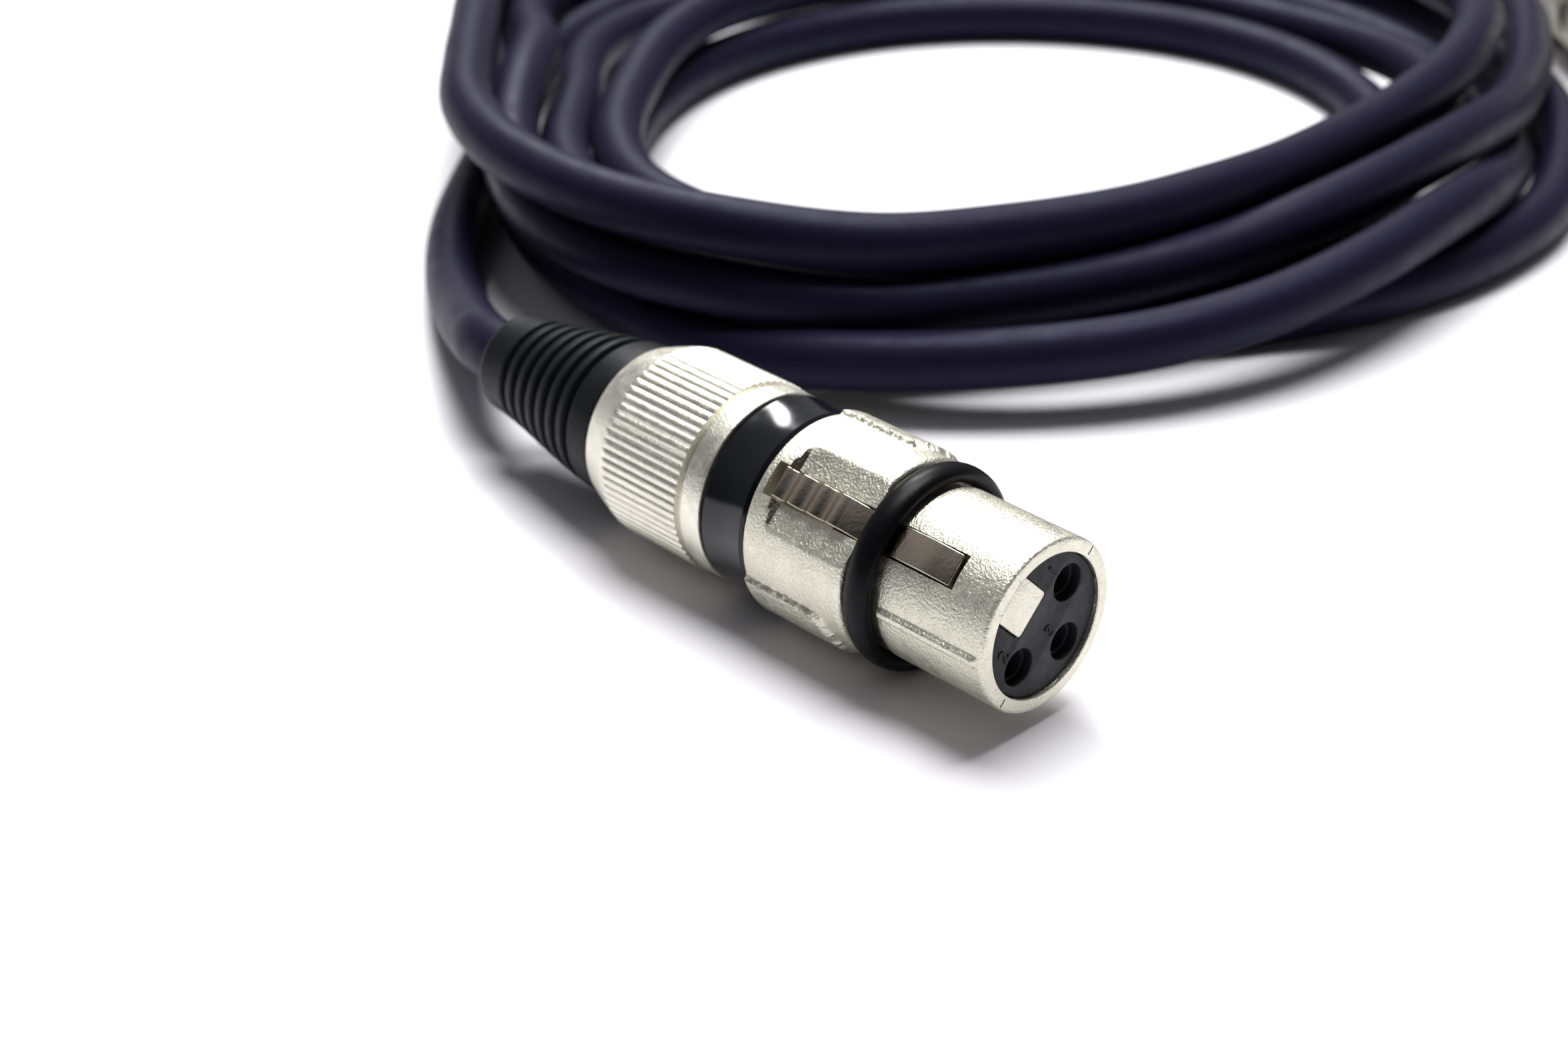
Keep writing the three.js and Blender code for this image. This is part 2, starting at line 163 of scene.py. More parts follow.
def bump(nodes, links, height, distance, strength=1.0, below=None):
    node = nodes.new("ShaderNodeBump")
    node.inputs["Distance"].default_value = distance * MM
    node.inputs["Strength"].default_value = strength
    links.new(height, node.inputs["Height"])
    if below is not None:
        links.new(below, node.inputs["Normal"])
    return node.outputs["Normal"]


def metal(name, dark, light, roughness, grain, grain_mm, relief, local=True, fine=0.0):
    """Plated metal: its colour drifts between two tones, its roughness varies and a grain stands out."""
    mat, nodes, links, bsdf = material(name)
    where = place_node(nodes, links, local)
    drift = noise(nodes, links, where, 0.25, 4.0)
    links.new(mixed_colour(nodes, links, drift, dark, light), bsdf.inputs["Base Color"])
    bsdf.inputs["Metallic"].default_value = 1.0
    patches = noise(nodes, links, where, 0.9, 5.0, 0.65)
    links.new(spread(nodes, links, patches, roughness * 0.8, roughness * 1.25), bsdf.inputs["Roughness"])
    grit = noise(nodes, links, where, 1 / grain_mm, 2.0, grain)
    normal = bump(nodes, links, grit, relief)
    if fine:
        normal = bump(nodes, links, noise(nodes, links, where, 3.2 / grain_mm, 2.0), fine, below=normal)
    links.new(normal, bsdf.inputs["Normal"])
    return mat


def plastic(name, dark, light, roughness, grain_mm, relief, local=True, coat=0.0, specular=0.5):
    """Plastic or rubber: its colour drifts between two tones, with faint smears and a fine grain."""
    mat, nodes, links, bsdf = material(name)
    where = place_node(nodes, links, local)
    drift = noise(nodes, links, where, 0.5, 5.0, 0.6)
    links.new(mixed_colour(nodes, links, drift, dark, light), bsdf.inputs["Base Color"])
    smears = noise(nodes, links, where, 1.3, 4.0, 0.6)
    links.new(spread(nodes, links, smears, roughness * 0.85, roughness * 1.2), bsdf.inputs["Roughness"])
    bsdf.inputs["Specular IOR Level"].default_value = specular
    bsdf.inputs["Coat Weight"].default_value = coat
    bsdf.inputs["Coat Roughness"].default_value = 0.08
    grit = noise(nodes, links, where, 1 / grain_mm, 2.0)
    links.new(bump(nodes, links, grit, relief), bsdf.inputs["Normal"])
    return mat


CAST_NICKEL = metal("cast_nickel", (0.62, 0.60, 0.50), (0.79, 0.775, 0.66), 0.42, 0.65, 0.27, 0.1, fine=0.02)
PAD_NICKEL = metal("pad_nickel", (0.56, 0.54, 0.45), (0.75, 0.735, 0.63), 0.42, 0.7, 0.45, 0.24, fine=0.03)
NUT_NICKEL = metal("nut_nickel", (0.68, 0.66, 0.57), (0.82, 0.805, 0.70), 0.42, 0.6, 0.3, 0.05)
BRIGHT_NICKEL = metal("bright_nickel", (0.50, 0.42, 0.31), (0.82, 0.75, 0.62), 0.17, 0.6, 0.4, 0.04)
# Darker metal for the wall behind the thumb flat: its dark colour is painted shade and dark reflection, not
# the metal's own tone.
WALL_PAINTED_SHADE_NICKEL = metal("wall_painted_shade_nickel", (0.16, 0.135, 0.11), (0.34, 0.30, 0.25), 0.34, 0.6, 0.3, 0.12)
CONTACT = metal("contact_metal", (0.78, 0.74, 0.62), (0.9, 0.87, 0.78), 0.22, 0.5, 0.4, 0.004)
INSERT = plastic("insert_plastic", (0.014, 0.014, 0.018), (0.02, 0.02, 0.025), 0.5, 0.09, 0.004, specular=0.2)
NUMERAL = plastic("numeral_plastic", (0.001, 0.001, 0.001), (0.002, 0.002, 0.002), 0.3, 0.2, 0.002,
                  specular=0.1)
GLOSS_BLACK = plastic("gloss_plastic", (0.003, 0.004, 0.006), (0.006, 0.007, 0.010), 0.14, 2.2, 0.006,
                      coat=0.1, specular=0.35)
RUBBER = plastic("boot_rubber", (0.003, 0.0035, 0.0045), (0.006, 0.007, 0.009), 0.46, 0.16, 0.006,
                 specular=0.16)
RING_RUBBER = plastic("ring_rubber", (0.0015, 0.0015, 0.002), (0.003, 0.003, 0.004), 0.36, 0.5, 0.004,
                      specular=0.12)
CHUCK_PLASTIC = plastic("chuck_plastic", (0.55, 0.53, 0.47), (0.66, 0.64, 0.58), 0.45, 0.3, 0.004,
                        local=False)
RED_WIRE = plastic("red_wire", (0.38, 0.02, 0.015), (0.5, 0.03, 0.02), 0.4, 0.3, 0.004, local=False)
WHITE_WIRE = plastic("white_wire", (0.7, 0.69, 0.65), (0.8, 0.79, 0.75), 0.4, 0.3, 0.004, local=False)
COPPER = metal("copper_braid", (0.55, 0.33, 0.2), (0.74, 0.48, 0.32), 0.3, 0.5, 0.25, 0.04, local=False)
SPRING_STEEL = metal("spring_steel", (0.5, 0.48, 0.45), (0.66, 0.64, 0.6), 0.25, 0.5, 0.3, 0.006, local=False)


def jacket_material():
    """Dark violet PVC with a soft sheen, faint long streaks and a fine skin."""
    mat, nodes, links, bsdf = material("jacket_pvc")
    where = place_node(nodes, links, True)
    drift = noise(nodes, links, where, 0.05, 4.0, 0.6)
    links.new(mixed_colour(nodes, links, drift, (0.006, 0.0048, 0.016), (0.009, 0.0075, 0.023)),
              bsdf.inputs["Base Color"])
    smears = noise(nodes, links, where, 0.35, 5.0, 0.65)
    links.new(spread(nodes, links, smears, 0.42, 0.56), bsdf.inputs["Roughness"])
    bsdf.inputs["Specular IOR Level"].default_value = 0.14
    bsdf.inputs["Specular Tint"].default_value = (0.66, 0.64, 1.0, 1)
    skin = noise(nodes, links, where, 2.6, 3.0)
    waves = noise(nodes, links, where, 0.22, 2.0)
    normal = bump(nodes, links, waves, 0.05)
    links.new(bump(nodes, links, skin, 0.004, below=normal), bsdf.inputs["Normal"])
    return mat


JACKET = jacket_material()


# ---------- mesh helpers ----------
def make_piece(name, points, faces, place, mat, body, stands_for=(), sharp=32):
    """A mesh piece from points in mm in a connector's frame; the points are kept as texture coordinates."""
    mesh = bpy.data.meshes.new(name)
    mesh.from_pydata([tuple(p) for p in points], [], faces)
    work = bmesh.new()
    work.from_mesh(mesh)
    bmesh.ops.remove_doubles(work, verts=work.verts, dist=1e-4)
    bmesh.ops.dissolve_degenerate(work, edges=work.edges, dist=1e-5)
    bmesh.ops.recalc_face_normals(work, faces=work.faces)
    work.to_mesh(mesh)
    work.free()
    local = np.zeros(len(mesh.vertices) * 3)
    mesh.vertices.foreach_get("co", local)
    local = local.reshape(-1, 3)
    attribute = mesh.attributes.new("loc", "FLOAT_VECTOR", "POINT")
    attribute.data.foreach_set("vector", local.ravel())
    where = place.world(local) if place else local * MM
    mesh.vertices.foreach_set("co", where.ravel())
    mesh.update()
    mesh.shade_smooth()
    mesh.set_sharp_from_angle(angle=math.radians(sharp))
    piece = bpy.data.objects.new(name, mesh)
    bpy.context.scene.collection.objects.link(piece)
    mesh.materials.append(mat)
    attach(piece, body)
    if stands_for:
        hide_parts(*stands_for)
    return piece


def fillet(corners, steps=4, closed=False):
    """Rounds a polyline's corners: each corner is (a, b, radius)."""
    line = []
    count = len(corners)
    for i, corner in enumerate(corners):
        here = np.array(corner[:2], float)
        radius = corner[2] if len(corner) > 2 else 0
        if not radius or (not closed and i in (0, count - 1)):
            line.append(here)
            continue
        before = np.array(corners[i - 1][:2], float) - here
        after = np.array(corners[(i + 1) % count][:2], float) - here
        reach_before, reach_after = np.linalg.norm(before), np.linalg.norm(after)
        before, after = before / reach_before, after / reach_after
        half = math.acos(np.clip(before @ after, -1, 1)) / 2
        cut = min(radius / math.tan(half), 0.49 * reach_before, 0.49 * reach_after)
        start, end = here + before * cut, here + after * cut
        for k in range(steps + 1):
            t = k / steps
            line.append((1 - t) ** 2 * start + 2 * t * (1 - t) * here + t * t * end)
    return [tuple(p) for p in line]


def divided(line, longest):
    """The polyline with every piece cut to at most the longest length."""
    out = [line[0]]
    for a, b in zip(line, line[1:]):
        parts = max(1, math.ceil(math.dist(a, b) / longest))
        for k in range(1, parts + 1):
            out.append(tuple(np.array(a) + (np.array(b) - np.array(a)) * k / parts))
    return out


def revolve(profile, count, closed=True, radius=None):
    """Points and faces of a profile of (r, s) turned about the axis; radius(angle, r, s) may reshape it."""
    profile = np.array(profile)
    angles = np.arange(count) * 2 * math.pi / count
    a, r = np.meshgrid(angles, profile[:, 0])
    s = np.repeat(profile[:, 1:2], count, axis=1)
    if radius is not None:
        r = radius(a, r, s)
    points = np.stack([r * np.sin(a), s, r * np.cos(a)], axis=2).reshape(-1, 3)
    rows = len(profile)
    faces = []
    for j in range(rows if closed else rows - 1):
        k = (j + 1) % rows
        for i in range(count):
            m = (i + 1) % count
            faces.append((j * count + i, j * count + m, k * count + m, k * count + i))
    return points, faces


def joined(*parts):
    """Several (points, faces) pairs as one."""
    points, faces, start = [], [], 0
    for part_points, part_faces in parts:
        points.append(np.asarray(part_points, float))
        faces += [tuple(v + start for v in face) for face in part_faces]
        start += len(part_points)
    return np.concatenate(points), faces


def extruded(outlines, depth, bevel, steps=2):
    """A plate of the given depth about z = 0 cut to closed 2D outlines (mm), its edges rounded by bevel."""
    curve = bpy.data.curves.new("outline", "CURVE")
    curve.dimensions = "2D"
    curve.fill_mode = "BOTH"
    curve.extrude = depth / 2 - bevel
    curve.bevel_depth = bevel
    curve.bevel_resolution = steps
    curve.offset = -bevel
    for outline in outlines:
        spline = curve.splines.new("POLY")
        spline.points.add(len(outline) - 1)
        for point, (x, y) in zip(spline.points, outline):
            point.co = (x, y, 0, 1)
        spline.use_cyclic_u = True
    return as_points(curve)


def as_points(curve):
    """The mesh of a curve or text as (points, faces); the curve is removed."""
    holder = bpy.data.objects.new("outline", curve)
    bpy.context.scene.collection.objects.link(holder)
    bpy.context.view_layer.update()
    mesh = bpy.data.meshes.new_from_object(holder.evaluated_get(bpy.context.evaluated_depsgraph_get()))
    points = np.array([v.co for v in mesh.vertices])
    faces = [tuple(p.vertices) for p in mesh.polygons]
    bpy.data.objects.remove(holder)
    bpy.data.meshes.remove(mesh)
    return points, faces


def circle(x, y, radius, count=48):
    turns = [2 * math.pi * k / count for k in range(count)]
    return [(x + radius * math.cos(turn), y + radius * math.sin(turn)) for turn in turns]


def smoothstep(low, high, value):
    t = np.clip((value - low) / (high - low), 0, 1)
    return t * t * (3 - 2 * t)


# ---------- shells ----------
def shell_lines(centre_r):
    """Lines along the shell: ("x", side distance in mm) by the slot and ("a", angle in degrees) elsewhere."""
    near = [0.4 * k for k in range(-3, 4)] + [-SLOT_HALF, SLOT_HALF, -SLOT_HALF - 0.03, SLOT_HALF + 0.03]
    lines = [("x", x) for x in near]
    edge = math.degrees(math.asin((SLOT_HALF + 0.03) / centre_r)) + 1.0
    for sign in (-1, 1):
        angle = edge
        while angle < 179.5:
            lines.append(("a", sign * angle))
            at_pad = any(abs(angle - pad_edge) < 3 for pad_edge in PAD_ANGLES)
            at_rib = sign < 0 and abs(angle + RIB_ANGLE) < 6
            angle += 0.5 if at_pad or at_rib else 1.25
    lines.append(("a", 180.0))

    def degrees(line):
        kind, value = line
        return math.degrees(math.asin(value / centre_r)) if kind == "x" else value

    return sorted(lines, key=degrees)


def shell_mesh(outer, inner_r, hole, reshape):
    """A shell as an outer and an inner skin over the same lines and stations, open where hole(x, s) says."""
    lines = shell_lines(BARREL_R)
    stations = np.array(outer)
    rows, count = len(stations), len(lines)
    r0 = np.repeat(stations[:, 0:1], count, axis=1)
    s = np.repeat(stations[:, 1:2], count, axis=1)
    is_x = np.array([kind == "x" for kind, _ in lines])
    value = np.array([v for _, v in lines])
    angle = np.where(is_x[None, :], np.arcsin(np.where(is_x, value, 0)[None, :] / np.maximum(r0, 7.6)),
                     np.radians(np.where(is_x, 0, value))[None, :])
    side = np.where(is_x, value, 99.0)[None, :].repeat(rows, axis=0)
    r = reshape(angle, r0, s, side)
    outside = np.stack([r * np.sin(angle), s, r * np.cos(angle)], axis=2)
    outside[..., 0] = np.where(is_x[None, :], value[None, :], outside[..., 0])
    ri = inner_r(s)
    inside = np.stack([ri * np.sin(angle), s, ri * np.cos(angle)], axis=2)
    inside[..., 0] = np.where(is_x[None, :], value[None, :], inside[..., 0])
    points = np.concatenate([outside.reshape(-1, 3), inside.reshape(-1, 3)])
    shift = rows * count
    open_cell = np.zeros((rows - 1, count), bool)
    for i in range(count):
        j = (i + 1) % count
        if is_x[i] and is_x[j]:
            x_mid = (value[i] + value[j]) / 2
            s_mid = (s[:-1, 0] + s[1:, 0]) / 2
            open_cell[:, i] = hole(x_mid, s_mid)
    faces = []

    def vertex(row, column):
        return row * count + column % count

    for row in range(rows - 1):
        for column in range(count):
            a, b = vertex(row, column), vertex(row, column + 1)
            c, d = vertex(row + 1, column + 1), vertex(row + 1, column)
            if not open_cell[row, column]:
                faces.append((a, b, c, d))
                faces.append((a + shift, d + shift, c + shift, b + shift))
                continue
            if not open_cell[row, column - 1]:
                faces.append((a, d, d + shift, a + shift))
            if not open_cell[row, (column + 1) % count]:
                faces.append((b, c, c + shift, b + shift))
            if row and not open_cell[row - 1, column]:
                faces.append((a, b, b + shift, a + shift))
            if row < rows - 2 and not open_cell[row + 1, column]:
                faces.append((d, c, c + shift, d + shift))
    for column in range(count):
        a, b = vertex(0, column), vertex(0, column + 1)
        faces.append((a, b, b + shift, a + shift))
        c, d = vertex(rows - 1, column), vertex(rows - 1, column + 1)
        faces.append((c, d, d + shift, c + shift))
    return points, faces


def pad_height(angle, s, front, end):
    """How far the two textured finger pads stand out of the body, 0 to 1."""
    off = np.abs(np.degrees(np.abs(angle)) - 90)
    arc = BODY_R * np.abs(angle)
    off = off + 0.7 * np.sin(5.3 * s + 1.1) + 0.5 * np.sin(11.9 * s)
    across = 1 - smoothstep(PAD_HALF_ANGLE - 1.6, PAD_HALF_ANGLE + 0.2, off)
    start = front + 1.5 * (off / PAD_HALF_ANGLE) ** 2
    start = start + 0.12 * np.sin(4.9 * arc) + 0.09 * np.sin(11.3 * arc + 0.8)
    along = smoothstep(start, start + 0.7, s) * (1 - smoothstep(end - 0.3, end, s))
    return across * along


def female_shell():
    """Barrel with its rib, groove for the rubber ring, and body with thumb flat, latch pocket and pads."""
    end = FEMALE_SHELL_END
    groove_front, groove_back = RING_GROOVE
    outer = fillet([
        (6.80, 0), (BARREL_R, 0, 0.42), (BARREL_R, groove_front, 0.1), (RING_GROOVE_R, groove_front),
        (RING_GROOVE_R, groove_back), (BODY_R, groove_back, 0.65), (BODY_R, end, 0.25), (7.3, end),
    ], steps=5)
    outer = divided(outer, 0.3)
    marks = sorted({SLOT[0], SLOT[1], THUMB_POCKET[0], THUMB_POCKET[1], THUMB_POCKET[1] + 0.04, 0.45, 0.9})
    outer = with_stations(outer, marks)

    def reshape(angle, r0, s, side):
        r = r0.copy()
        rear = (s > groove_back) & (r0 > BARREL_R)
        flat = FLAT_R + np.maximum(0, s - FLAT_END) * FLAT_SLOPE
        plane = flat / np.maximum(np.cos(angle), 0.05)
        r = np.where(rear & (np.abs(angle) < 1.2), np.minimum(r, plane), r)
        r = np.where(rear, r + PAD_RISE * pad_height(angle, s, 16.6, end), r)
        rib = np.exp(-(((np.degrees(angle) - RIB_ANGLE) * math.pi / 180 * BARREL_R) / RIB_HALF) ** 4)
        rib = rib * smoothstep(0.5, 0.95, s) * (1 - smoothstep(groove_front - 0.2, groove_front, s))
        r = np.where(r0 > BARREL_R - 0.05, r + RIB_RISE * rib, r)
        in_pocket = (s > THUMB_POCKET[0] - 0.001) & (s < THUMB_POCKET[1] + 0.001)
        return np.where(in_pocket & (np.abs(side) < SLOT_HALF + 0.01) & (r > POCKET_R), POCKET_R, r)

    def inner_r(s):
        return np.where(s < 0.02, 6.74, np.where(s < 19, BORE_R, THREAD_R))

    def hole(x, s):
        return (abs(x) < SLOT_HALF) & (s > SLOT[0]) & (s < SLOT[1])

    points, faces = joined(shell_mesh(outer, inner_r, hole, reshape), key_block())
    piece = make_piece("female_shell", points, faces, FEMALE, CAST_NICKEL, ROOT, ["f_shell"])
    pad_faces(piece)


def key_block():
    """The key that stands in from the top of the female bore."""
    wall = [(x, math.sqrt(BORE_R ** 2 - x * x) + 0.05) for x in np.linspace(KEY_HALF, -KEY_HALF, 9)]
    sides = fillet([(-KEY_HALF, 4.5), (-KEY_HALF, KEY_FLOOR, 0.4), (KEY_HALF, KEY_FLOOR, 0.4),
                    (KEY_HALF, 4.5)])
    points, faces = extruded([sides + wall], KEY_LENGTH, 0.04, 1)
    return np.stack([points[:, 0], points[:, 2] + KEY_LENGTH / 2, points[:, 1]], axis=1), faces


def with_stations(profile, marks):
    """The profile with extra points where it crosses the given distances s."""
    out = [profile[0]]
    for a, b in zip(profile, profile[1:]):
        low, high = sorted((a[1], b[1]))
        inside = [m for m in marks if low + 1e-4 < m < high - 1e-4]
        for m in sorted(inside, reverse=a[1] > b[1]):
            t = (m - a[1]) / (b[1] - a[1])
            out.append((a[0] + (b[0] - a[0]) * t, m))
        out.append(b)
    return out


def pad_faces(piece):
    """Gives the finger pads their coarser cast texture and the thumb flat's rear wall a darker metal whose
    darkness is painted shade.
    """
    piece.data.materials.append(PAD_NICKEL)
    piece.data.materials.append(WALL_PAINTED_SHADE_NICKEL)
    loc = piece.data.attributes["loc"].data
    for polygon in piece.data.polygons:
        middle = np.mean([loc[v].vector for v in polygon.vertices], axis=0)
        radius = math.hypot(middle[0], middle[2])
        off = abs(abs(math.degrees(math.atan2(middle[0], middle[2]))) - 90)
        if radius > BODY_R + PAD_RISE * 0.7 and off < PAD_HALF_ANGLE:
            polygon.material_index = 1
        # The wall behind the thumb flat gets the darker metal, which paints its shade into the colour.
        behind_flat = FLAT_END < middle[1] < FLAT_END + 1 and radius < BODY_R - 0.06
        if behind_flat and abs(middle[0]) < 6 and middle[2] > BARREL_R:
            polygon.material_index = 2


def parting_marks():
    """Two fine dark lines across the front ring, where the halves of the casting mould met."""
    parts = []
    for sign in (-1, 1):
        mark = [(sign * 6.95, -0.07), (sign * 6.95, 0.07), (sign * 7.75, 0.05), (sign * 7.75, -0.05)]
        points = [(x, s, z) for s in (-0.012, 0.2) for x, z in mark]
        sides = [(i, (i + 1) % 4, (i + 1) % 4 + 4, i + 4) for i in range(4)]
        parts.append((points, [(0, 1, 2, 3), (4, 5, 6, 7)] + sides))
    points, faces = joined(*parts)
    make_piece("female_parting_marks", points, faces, FEMALE, NUMERAL, ROOT)


def male_shell():
    """Plain sleeve with the latch window and the finger pads."""
    end = MALE_SHELL_END
    window_front, window_back = MALE_WINDOW
    outer = fillet([
        (8.3, 0), (BODY_R, 0, 0.35), (BODY_R, end, 0.25), (7.3, end),
    ], steps=5)
    outer = with_stations(divided(outer, 0.35), [window_front, window_back, 14.0])

    def reshape(angle, r0, s, side):
        return np.where(r0 > 8.5, r0 + PAD_RISE * pad_height(angle, s, 18.6, end), r0)

    def inner_r(s):
        return np.where(s < 0.02, 8.28, np.where(s < 16, 8.2, np.where(s < 22, BORE_R, THREAD_R)))

    def hole(x, s):
        return (abs(x) < SLOT_HALF) & (s > window_front) & (s < window_back)

    points, faces = shell_mesh(outer, inner_r, hole, reshape)
    piece = make_piece("male_shell", points, faces, MALE, CAST_NICKEL, ROOT, ["m_shell"])
    pad_faces(piece)


# ---------- inserts and contacts ----------
def contact_centre(angle):
    a = math.radians(angle)
    return CONTACT_R * math.sin(a), CONTACT_R * math.cos(a)


def face_plate(outlines, front, back, bevel):
    """A plate whose 2D outline is seen from the mating side, between two distances from the face."""
    points, faces = extruded(outlines, back - front, bevel)
    return np.stack([points[:, 0], points[:, 2] + (front + back) / 2, points[:, 1]], axis=1), faces


def numerals(front, reach):
    """The figures 1, 2 and 3 beside the contacts."""
    parts = []
    for i, angle in enumerate(CONTACT_ANGLES):
        text = bpy.data.curves.new("figure", "FONT")
        text.body = str(i + 1)
        text.size = 1.9
        text.extrude = 0.07
        text.offset = 0.05
        text.align_x = "CENTER"
        text.align_y = "CENTER"
        points, faces = as_points(text)
        x, z = contact_centre(angle)
        placed = np.stack([points[:, 0] + x, front - points[:, 2], points[:, 1] + z + reach], axis=1)
        parts.append((placed, faces))
    return joined(*parts)


def female_insert():
    outer_r = BORE_R - 0.1
    half = KEY_HALF + 0.1
    corner = math.asin(half / outer_r)
    arc = [(outer_r * math.sin(a), outer_r * math.cos(a))
           for a in np.linspace(corner, 2 * math.pi - corner, 90)]
    notch = fillet([(-half, 5.5), (-half, KEY_FLOOR - 0.12, 0.3), (half, KEY_FLOOR - 0.12, 0.3), (half, 5.5)])
    outline = arc + notch
    front_holes = [circle(*contact_centre(a), 1.7) for a in CONTACT_ANGLES]
    deep_holes = [circle(*contact_centre(a), 1.32) for a in CONTACT_ANGLES]
    front = face_plate([outline] + front_holes, 0.4, 1.3, 0.12)
    deep = face_plate([outline] + deep_holes, 1.3, 16.5, 0.02)
    points, faces = joined(front, deep)
    make_piece("female_insert", points, faces, FEMALE, INSERT, ROOT, ["f_insert"])
    points, faces = numerals(0.385, 2.75)
    make_piece("female_numerals", points, faces, FEMALE, NUMERAL, ROOT)


def female_sockets():
    for i, angle in enumerate(CONTACT_ANGLES):
        x, z = contact_centre(angle)
        tube = revolve(fillet([(0.9, 3.0, 0.1), (1.3, 3.0, 0.1), (1.3, 21), (0.9, 21)], closed=True), 32)
        cup = revolve([(0, 15), (0.95, 15), (0.95, 15.4), (0, 15.4)], 32, closed=False)
        points, faces = joined(tube, cup)
        make_piece(f"female_socket_{i + 1}", points + [x, 0, z], faces, FEMALE, CONTACT, ROOT,
                   [f"f_socket_{i + 1}"])


def male_insert():
    """Disc across the sleeve with a raised collar round each pin."""
    profile = fillet([(0, 14.2), (7.9, 14.2, 0.3), (7.9, 15.7, 0.2), (6.35, 15.7), (6.35, 20), (0, 20)])
    disc = revolve(profile, 72, closed=False)
    collar = fillet([(1.25, 14.3), (1.25, 13.9, 0.05), (1.75, 13.9, 0.1), (1.75, 14.3)])
    collar_points, collar_faces = revolve(collar, 32, closed=False)
    collars = [(collar_points + [contact_centre(a)[0], 0, contact_centre(a)[1]], collar_faces)
               for a in CONTACT_ANGLES]
    points, faces = joined(disc, *collars)
    make_piece("male_insert", points, faces, MALE, INSERT, ROOT, ["m_insert"])


def male_pins():
    for i, angle in enumerate(CONTACT_ANGLES):
        x, z = contact_centre(angle)
        profile = fillet([(0, 2.5), (0.8, 2.5, 0.5), (1.2, 3.6, 0.6), (1.2, 24, 0.1), (0, 24)])
        points, faces = revolve(profile, 40, closed=False)
        make_piece(f"male_pin_{i + 1}", points + [x, 0, z], faces, MALE, CONTACT, ROOT,
                   [f"m_pin_{i + 1}"])


# ---------- latch and rings ----------
def latch():
    """Bent strip: hooked nose, dip under the rubber ring, waved thumb part."""
    nose_and_dip = fillet([(5.3, 7.4), (5.35, 7.8, 0.2), (6.1, 8.05, 0.4), (7.7, 8.6, 3.0), (11.6, 8.25, 0.3),
                           (12.0, 7.55, 0.3), (15.0, 7.55, 0.5), (16.9, 8.9, 0.6)])
    first_crest, wave_length, wave_height = 18.1, 2.35, 0.24
    waves = [(s, 9.14 + wave_height * math.cos((s - first_crest) * 2 * math.pi / wave_length))
             for s in np.arange(17.4, 25.0, 0.1)]
    underside = fillet([(25.3, 9.0), (25.5, 8.75), (25.3, 8.66), (18.2, 8.66, 0.4), (15.6, 7.1, 0.4),
                        (5.3, 7.1)])
    points, faces = extruded([nose_and_dip + waves + underside], LATCH_WIDTH, 0.09, 2)
    points = np.stack([points[:, 2], points[:, 0], points[:, 1]], axis=1)
    make_piece("female_latch", points, faces, FEMALE, BRIGHT_NICKEL, "f_latch", ["f_latch"])


def o_ring():
    """Rubber ring with an oval section, in the middle of its groove."""
    middle_r, half_r, half_s = 8.775, 0.825, 1.36
    section = [(middle_r + half_r * math.cos(a), sum(RING_GROOVE) / 2 + half_s * math.sin(a))
               for a in np.linspace(0, 2 * math.pi, 32, endpoint=False)]
    points, faces = revolve(section, 144)
    make_piece("female_o_ring", points, faces, FEMALE, RING_RUBBER, ROOT, ["f_o_ring"])


# ---------- parts behind the shell ----------
def coding_ring(prefix, place, start):
    """Slightly hollow glossy ring with a fine parting line on each side."""
    end = start + CODING_RING_LENGTH
    outer = [(9.28 - 0.16 * math.sin(math.pi * t), start + 0.3 + (end - start - 0.6) * t)
             for t in np.linspace(0, 1, 14)]
    profile = [(7.6, start), (9.05, start)] + outer + [(9.05, end), (7.6, end)]

    def radius(a, r, y):
        on_parting = np.abs(np.abs(np.degrees(a) - 180) - 90) < 0.3
        return np.where(on_parting & (r > 9.0), r - 0.07, r)

    points, faces = revolve(profile, 288, radius=radius)
    name = f"{prefix}_coding_ring"
    make_piece(name, points, faces, place, GLOSS_BLACK, ROOT, [f"{prefix[0]}_coding_ring"])


def nut(prefix, place, shell_end):
    """Clamping nut: neck inside the shell, lip, fluted grip and cone, open towards the boot."""
    def s(distance):
        return shell_end + distance

    lip = fillet([(6.9, s(-4.6)), (6.9, s(5.9)), (9.28, s(5.9), 0.25), (9.28, s(8.25), 0.2),
                  (8.95, s(8.4), 0.1), (8.95, s(8.75), 0.05), (9.5, s(8.85), 0.05)])
    fluted = [(9.5, s(x)) for x in np.arange(9.0, 18.6, 0.4)]
    cone = [(9.5 - 1.4 * t ** 1.15, s(18.6 + 4.1 * t)) for t in np.linspace(0, 1, 16)]
    inside = fillet([(8.1, s(22.7)), (7.2, s(22.7), 0.15), (7.2, s(20)), (8.0, s(20)), (8.0, s(16.5)),
                     (5.0, s(16.5)), (5.0, s(15.5)), (6.3, s(9.5)), (6.3, s(-4.6))])
    profile = lip + fluted + cone + inside[1:]

    def radius(a, r, y):
        ridge = 9.34 + 0.16 * np.abs(np.sin(FLUTES / 2 * a)) ** 0.8
        in_flutes = (y > s(8.8)) & (r > 9.0)
        return np.where(in_flutes, np.minimum(r, ridge), r)

    points, faces = revolve(profile, FLUTES * 8, radius=radius)
    body = f"{prefix[0]}_nut"
    make_piece(f"{prefix}_nut", points, faces, place, NUT_NICKEL, body, [body], sharp=50)


